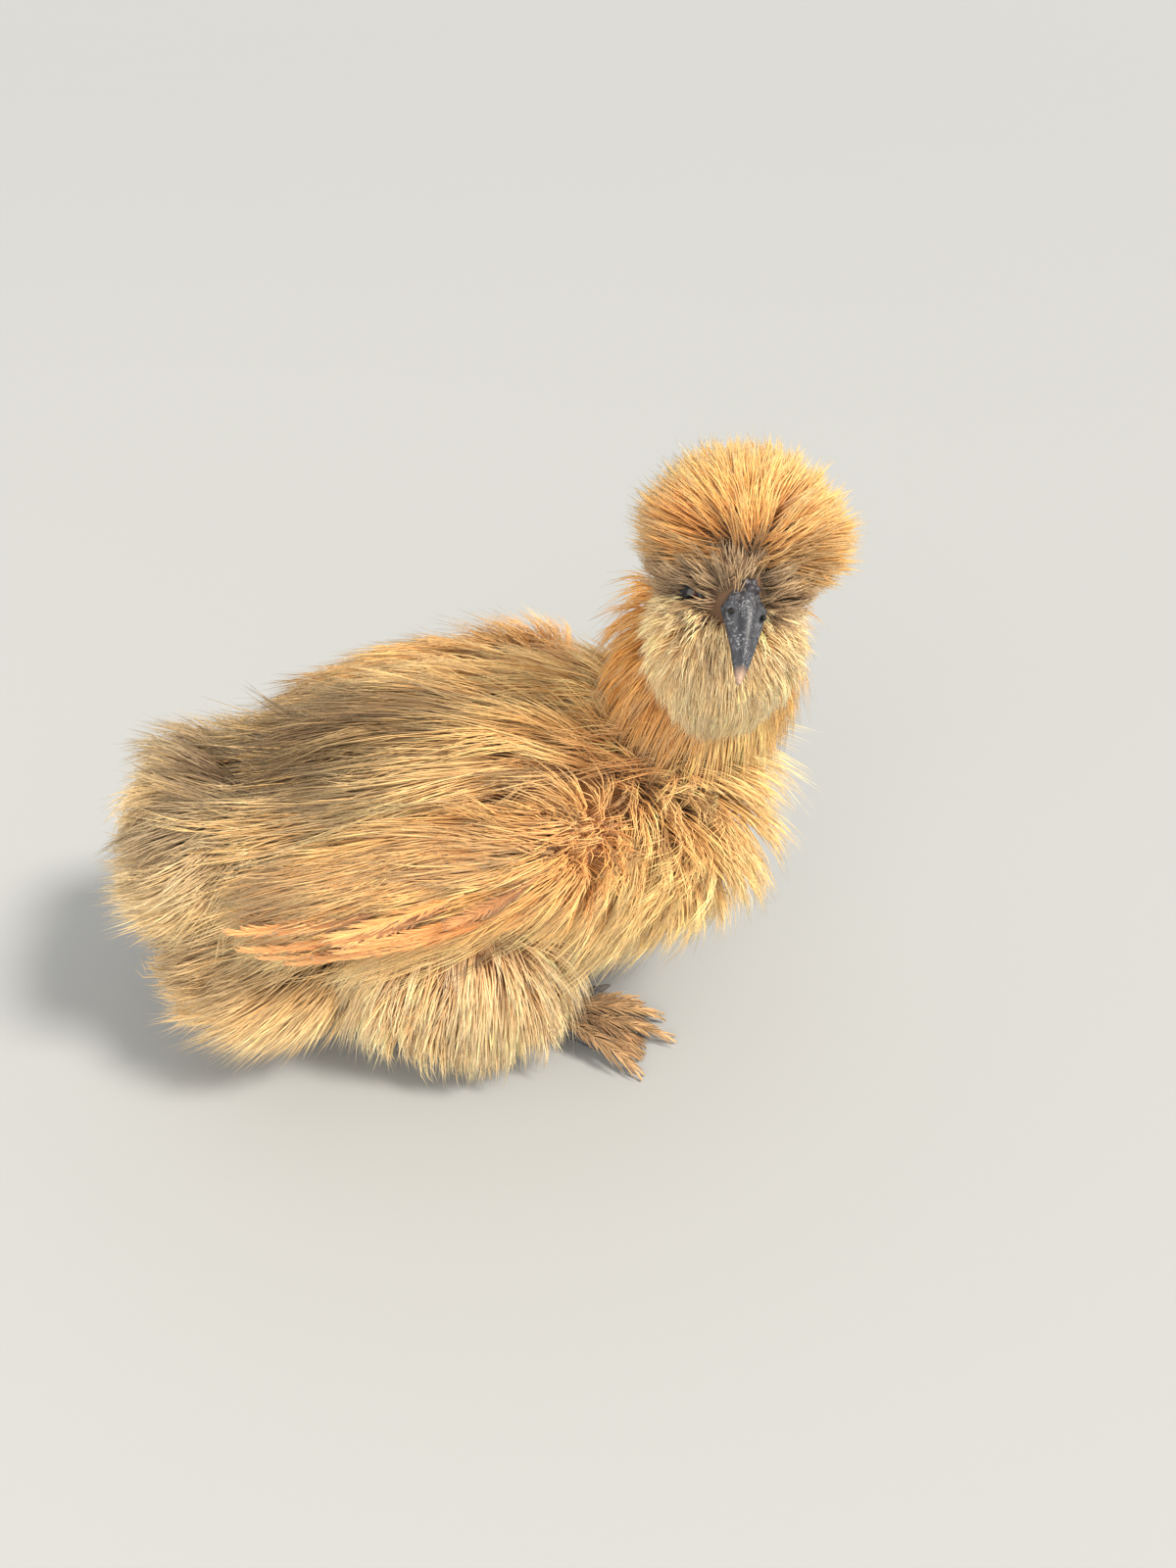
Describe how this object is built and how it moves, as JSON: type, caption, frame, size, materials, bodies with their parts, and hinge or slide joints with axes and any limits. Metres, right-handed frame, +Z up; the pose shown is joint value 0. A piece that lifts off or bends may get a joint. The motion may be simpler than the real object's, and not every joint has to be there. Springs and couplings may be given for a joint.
{
  "type": "bearded silkie hen",
  "caption": "Life-size standing bearded silkie hen with a fluffy coat to the floor, a round crest, muffs and a beard, its head turned to its right.",
  "frame": {"origin": "middle of the bounding box on the floor that the hen stands on", "axes": "+X the way the body faces, +Y the bird's left, +Z up; the head is turned toward -Y"},
  "size_m": [0.2582, 0.1522, 0.2318],
  "materials": {
    "crest_fluff": "soft golden-buff down, matt",
    "body_fluff": "soft straw-buff down with grey-brown patches, matt",
    "wing_feathers": "ragged orange-buff feathers, matt",
    "leg_fluff": "soft pale cream down, matt",
    "beak": "dark slate horn, satin",
    "comb_skin": "dark bare skin, satin",
    "leg_skin": "slate-grey scaled skin, satin",
    "claw": "grey horn, satin",
    "eye": "dark brown, wet gloss"
  },
  "bodies": {
    "root": {"head": "crest_fluff", "upper_beak": "beak", "lower_beak": "beak", "comb": "comb_skin", "left_eye": "eye", "right_eye": "eye", "neck": "body_fluff", "torso": "body_fluff", "tail": "body_fluff", "left_wing": "wing_feathers", "right_wing": "wing_feathers", "left_thigh": "leg_fluff", "right_thigh": "leg_fluff", "left_shank": "leg_skin", "right_shank": "leg_skin", "left_foot": "leg_skin", "right_foot": "leg_skin", "left_inner_claw": "claw", "left_middle_claw": "claw", "left_outer_claw": "claw", "left_hind_claw": "claw", "left_fifth_claw": "claw", "right_inner_claw": "claw", "right_middle_claw": "claw", "right_outer_claw": "claw", "right_hind_claw": "claw", "right_fifth_claw": "claw"}
  },
  "joints": []
}
